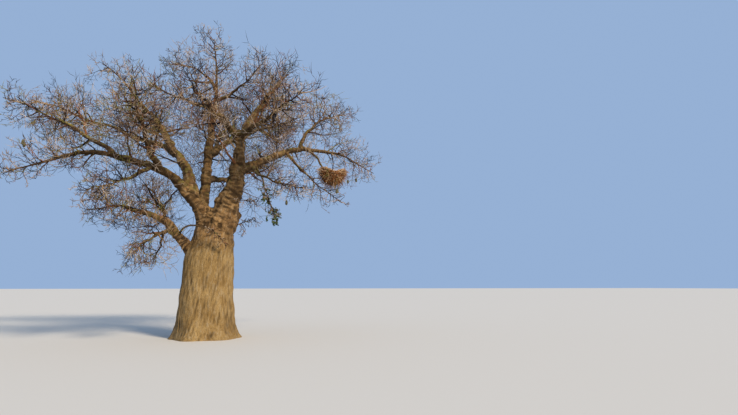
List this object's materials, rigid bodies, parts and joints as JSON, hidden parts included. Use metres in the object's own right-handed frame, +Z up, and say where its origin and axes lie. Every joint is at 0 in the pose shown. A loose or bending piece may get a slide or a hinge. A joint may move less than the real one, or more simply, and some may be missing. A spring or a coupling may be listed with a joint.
{
  "type": "bare baobab tree",
  "caption": "Whole bare baobab tree: stout flared trunk, forked stems and spreading boughs that end in masses of leafless twigs, with a stick nest and one leafy spray.",
  "frame": {"origin": "middle of the flat cut under the trunk, at ground level", "axes": "+Z up, +X to the right and +Y away from the viewer as in the picture's view of the tree"},
  "size_m": [15.5248, 11.807, 12.4455],
  "materials": {
    "trunk_bark": "matt tan-grey bark with fine upright streaks and cross wrinkles",
    "limb_bark": "matt grey-brown wrinkled bark, warmer where it is young",
    "twig_bark": "matt pale grey-tan twigs",
    "leafy_spray": "semi-matt dark green leaves on grey-tan twigs",
    "nest_sticks": "matt weathered brown sticks"
  },
  "bodies": {
    "root": {"back_bough": "limb_bark", "back_right_bough": "limb_bark", "back_right_twigs": "twig_bark", "back_twigs": "twig_bark", "centre_left_bough": "limb_bark", "centre_left_twigs": "twig_bark", "crossing_bough": "limb_bark", "crossing_twigs": "twig_bark", "crown_front_bough": "limb_bark", "crown_front_twigs": "twig_bark", "inner_right_bough": "limb_bark", "inner_right_twigs": "twig_bark", "leafy_bough": "limb_bark", "leafy_twigs": "leafy_spray", "left_back_bough": "limb_bark", "left_back_twigs": "twig_bark", "left_bough": "limb_bark", "left_front_bough": "limb_bark", "left_front_twigs": "twig_bark", "left_hanging_bough": "limb_bark", "left_hanging_twigs": "twig_bark", "left_high_bough": "limb_bark", "left_high_twigs": "twig_bark", "left_twigs": "twig_bark", "low_left_bough": "limb_bark", "low_left_front_bough": "limb_bark", "low_left_front_twigs": "twig_bark", "low_left_rising_bough": "limb_bark", "low_left_rising_twigs": "twig_bark", "low_left_twigs": "twig_bark", "mid_left_bough": "limb_bark", "mid_left_twigs": "twig_bark", "middle_stem": "limb_bark", "middle_stem_twigs": "twig_bark", "nest_bough": "limb_bark", "right_bough": "limb_bark", "right_front_bough": "limb_bark", "right_front_twigs": "twig_bark", "right_hanging_bough": "limb_bark", "right_hanging_twigs": "twig_bark", "right_low_bough": "limb_bark", "right_low_twigs": "twig_bark", "right_rising_bough": "limb_bark", "right_rising_twigs": "twig_bark", "right_stem": "limb_bark", "right_top_bough": "limb_bark", "right_top_twigs": "twig_bark", "right_twigs": "twig_bark", "stem_shoots": "twig_bark", "stick_nest": "nest_sticks", "top_left_bough": "limb_bark", "top_left_twigs": "twig_bark", "top_right_bough": "limb_bark", "top_right_twigs": "twig_bark", "trunk": "trunk_bark", "trunk_shoots": "twig_bark", "upper_left_bough": "limb_bark", "upper_left_twigs": "twig_bark"}
  },
  "joints": []
}
